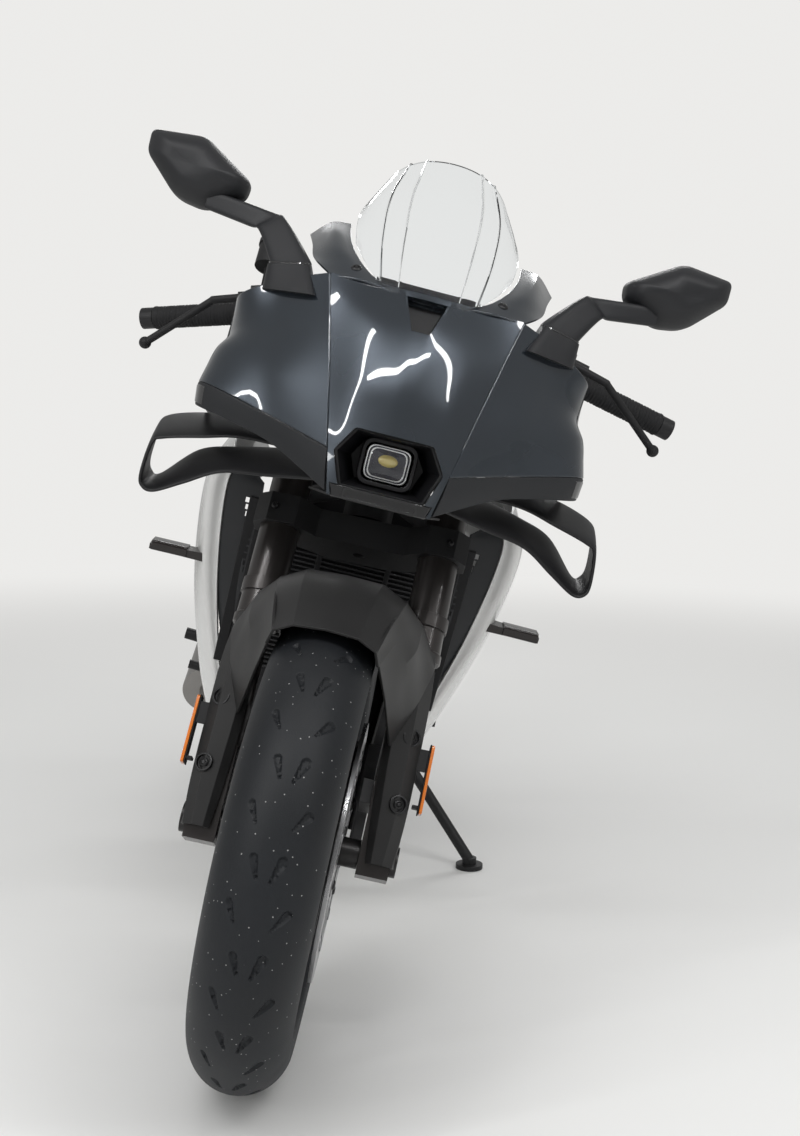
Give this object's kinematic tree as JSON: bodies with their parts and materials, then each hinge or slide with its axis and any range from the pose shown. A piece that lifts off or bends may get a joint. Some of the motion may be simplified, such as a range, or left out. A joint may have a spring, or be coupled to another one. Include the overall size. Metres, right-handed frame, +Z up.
{
  "type": "sport motorcycle",
  "caption": "Fully faired road sport bike leaning on its side stand, with clip-on bars, loop winglets, small bubble screen, single headlamp and separate pillion seat.",
  "frame": {"origin": "centre of the bounding box's footprint, on the floor, with the bike leaning on its side stand and its bars turned a little to its right", "axes": "the bike faces -Y, its left side is +X, +Z is up"},
  "size_m": [0.8232, 2.0948, 1.1822],
  "materials": {
    "tyre_rubber": "matt",
    "wheel_paint": "satin black",
    "disc_steel": "ground",
    "axle_steel": "turned",
    "fork_dark": "dark satin",
    "cast_black": "satin black",
    "grip_rubber": "ribbed",
    "control_black": "matt",
    "guard_grey": "matt warm grey",
    "reflector_amber": "prismatic",
    "caliper_grey": "cast",
    "engine_dark": "cast, dark",
    "paint_navy": "metallic gloss",
    "panel_navy": "metallic gloss",
    "cap_black": "anodised",
    "seat_vinyl": "grained",
    "lamp_red": "moulded",
    "lamp_smoke": "smoked",
    "spring_steel": "satin",
    "chain_steel": "oiled",
    "exhaust_steel": "brushed",
    "radiator_black": "matt",
    "lens_clear": "moulded",
    "screen_clear": "clear",
    "trim_dark": "matt",
    "wing_black": "matt",
    "mirror_shell": "matt charcoal",
    "mirror_face": "silvered",
    "panel_white": "gloss"
  },
  "bodies": {
    "chassis": {"main_frame": "cast_black", "engine": "engine_dark", "fuel_tank": "paint_navy", "subframe": "cast_black", "rider_seat": "seat_vinyl", "tail_fairing": "panel_navy", "pillion_seat": "seat_vinyl", "tail_lamp": "lamp_red", "plate_holder": "control_black", "rear_indicators": "lamp_smoke", "swingarm": "cast_black", "rear_axle": "axle_steel", "shock": "spring_steel", "chain": "chain_steel", "rear_caliper": "caliper_grey", "exhaust": "exhaust_steel", "radiator": "radiator_black", "nose_cowl": "panel_navy", "headlamp_housing": "control_black", "headlamp_lens": "lens_clear", "side_cowls": "panel_navy", "cowl_trim": "trim_dark", "windscreen": "screen_clear", "winglets": "wing_black", "mirrors": "mirror_shell", "mirror_glass": "mirror_face", "side_fairing_left": "panel_white", "side_fairing_right": "panel_white", "inner_panels": "trim_dark", "front_indicators": "lamp_smoke", "belly_pan": "panel_white", "fairing_stay": "cast_black", "instruments": "control_black", "rear_hugger": "guard_grey", "footrests": "cast_black"},
    "steering": {"front_axle": "axle_steel", "fork_sliders": "fork_dark", "fork_tubes": "fork_dark", "lower_clamp": "cast_black", "upper_clamp": "cast_black", "handlebars": "cast_black", "grips": "grip_rubber", "bar_controls": "control_black", "front_mudguard": "guard_grey", "fork_reflectors": "reflector_amber", "front_calipers": "caliper_grey"},
    "front_wheel": {"front_tyre": "tyre_rubber", "front_rim": "wheel_paint", "front_discs": "disc_steel"},
    "rear_wheel": {"rear_tyre": "tyre_rubber", "rear_rim": "wheel_paint", "rear_disc": "disc_steel", "rear_sprocket": "disc_steel"},
    "side_stand": {"side_stand": "cast_black"},
    "fuel_cap": {"fuel_cap": "cap_black"}
  },
  "joints": [
    {"name": "steering", "type": "hinge", "parent": "chassis", "child": "steering", "pos_m": [-0.04519, -0.49364, 0.76581], "axis": [0.2053, 0.4084, 0.8894], "range_deg": [-21.8, 32.2]},
    {"name": "front_wheel_spin", "type": "hinge", "parent": "steering", "child": "front_wheel", "pos_m": [-0.15699, -0.74824, 0.29576], "axis": [0.9787, -0.0827, -0.188], "continuous": true},
    {"name": "rear_wheel_spin", "type": "hinge", "parent": "chassis", "child": "rear_wheel", "pos_m": [-0.14819, 0.73249, 0.31971], "axis": [0.9744, 0, -0.225], "continuous": true},
    {"name": "stand_fold", "type": "hinge", "parent": "chassis", "child": "side_stand", "pos_m": [-0.0004, 0.10203, 0.20413], "axis": [0.7639, -0.2009, 0.6133], "range_deg": [0, 100]},
    {"name": "cap_hinge", "type": "hinge", "parent": "chassis", "child": "fuel_cap", "pos_m": [0.00534, -0.20726, 0.98472], "axis": [0.9744, 0, -0.225], "range_deg": [0, 100]}
  ]
}
